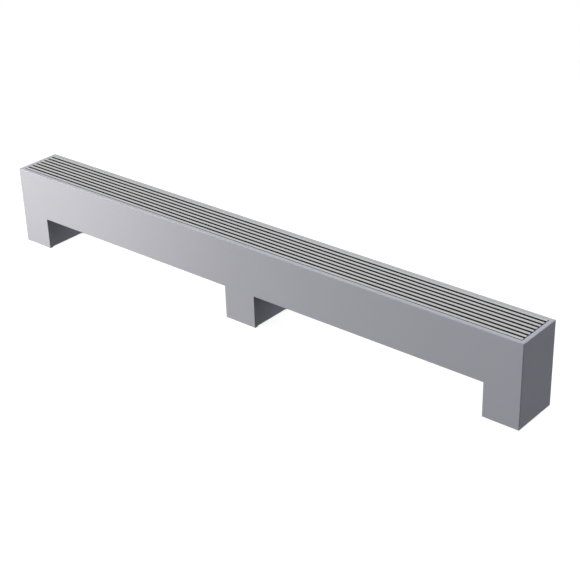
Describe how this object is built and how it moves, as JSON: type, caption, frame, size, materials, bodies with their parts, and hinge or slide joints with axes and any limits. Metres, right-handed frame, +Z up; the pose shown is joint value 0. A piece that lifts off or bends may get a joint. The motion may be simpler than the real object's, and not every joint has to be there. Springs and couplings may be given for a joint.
{
  "type": "floor convector",
  "caption": "Long low floor-standing hot-water convector in grey folded steel, on three box legs, with a lift-out linear aluminium grille over a finned heat exchanger and its valves.",
  "frame": {"origin": "on the floor, under the middle of the casing", "axes": "+X along the length to the right seen from the front, -Y towards the front, +Z up"},
  "size_m": [1.7, 0.14, 0.2308],
  "materials": {
    "powder_coat": "fine silver-grey powder coat, satin",
    "anodised": "natural anodised, satin",
    "black_steel": "black coated",
    "black_plastic": "moulded, matt",
    "black_rubber": "cellular strip",
    "galvanised": "zinc coated sheet with spangle",
    "fin_aluminium": "bright rolled sheet",
    "copper": "drawn copper, slightly dulled",
    "brass": "turned brass",
    "nickel_brass": "nickel-plated brass, satin",
    "zinc_fixings": "zinc plated",
    "white_plastic": "moulded, fine grain",
    "stainless": "turned stainless steel"
  },
  "bodies": {
    "convector": {"casing_front": "powder_coat", "casing_back": "powder_coat", "end_panel_left": "powder_coat", "end_panel_right": "powder_coat", "leg_cheek_left": "powder_coat", "leg_cheek_middle_left": "powder_coat", "leg_cheek_middle_right": "powder_coat", "leg_cheek_right": "powder_coat", "cross_member_left": "galvanised", "cross_member_middle": "galvanised", "cross_member_right": "galvanised", "foot_plate_left": "galvanised", "foot_plate_right": "galvanised", "exchanger_plate_left": "galvanised", "exchanger_plate_middle": "galvanised", "exchanger_plate_right": "galvanised", "casing_studs": "zinc_fixings", "stud_nuts": "zinc_fixings", "exchanger_bolts": "zinc_fixings", "exchanger_nuts": "zinc_fixings", "seat_strip_front": "black_rubber", "seat_strip_back": "black_rubber", "union_seals": "black_rubber", "head_collar": "black_plastic", "fin_pack_left": "fin_aluminium", "fin_pack_right": "fin_aluminium", "tube_upper_front": "copper", "tube_upper_back": "copper", "tube_lower_front": "copper", "tube_lower_back": "copper", "return_bend_front": "copper", "return_bend_back": "copper", "crossover_bend": "copper", "flow_connector": "brass", "return_connector": "brass", "valve_insert": "brass", "lockshield_insert": "brass", "vent_body": "brass", "union_nut_flow": "nickel_brass", "union_nut_return": "nickel_brass", "valve_body": "nickel_brass", "lockshield_body": "nickel_brass"},
    "grille": {"grille_bar_1": "anodised", "grille_bar_2": "anodised", "grille_bar_3": "anodised", "grille_bar_4": "anodised", "grille_bar_5": "anodised", "grille_bar_6": "anodised", "grille_bar_7": "anodised", "grille_bar_8": "anodised", "grille_tie_rods": "black_steel", "grille_spacers": "black_plastic"},
    "hand_wheel": {"hand_wheel": "white_plastic"},
    "valve_pin": {"valve_pin": "stainless"},
    "lockshield_cap": {"lockshield_cap": "white_plastic"},
    "lockshield_spindle": {"lockshield_spindle": "brass"},
    "vent_screw": {"vent_screw": "stainless"}
  },
  "joints": [
    {"name": "grille_lift", "type": "slide", "parent": "convector", "child": "grille", "axis": [0, 0, 1], "range_m": [0, 0.08]},
    {"name": "hand_wheel_turn", "type": "hinge", "parent": "convector", "child": "hand_wheel", "pos_m": [0.8, -0.025, 0.16], "axis": [0, 0, -1], "range_deg": [0, 720]},
    {"name": "valve_pin_press", "type": "slide", "parent": "convector", "child": "valve_pin", "axis": [0, 0, -1], "range_m": [0, 0.003]},
    {"name": "lockshield_cap_lift", "type": "slide", "parent": "convector", "child": "lockshield_cap", "axis": [0, 0, 1], "range_m": [0, 0.024]},
    {"name": "lockshield_turn", "type": "hinge", "parent": "convector", "child": "lockshield_spindle", "pos_m": [0.8, 0.025, 0.135], "axis": [0, 0, -1], "range_deg": [0, 1260]},
    {"name": "vent_screw_turn", "type": "hinge", "parent": "convector", "child": "vent_screw", "pos_m": [0.763, 0, 0.168], "axis": [0, 0, 1], "range_deg": [0, 360]}
  ],
  "couplings": [
    {"joint": "valve_pin_press", "follows": "hand_wheel_turn", "m_per_rad": 0.0002387}
  ]
}
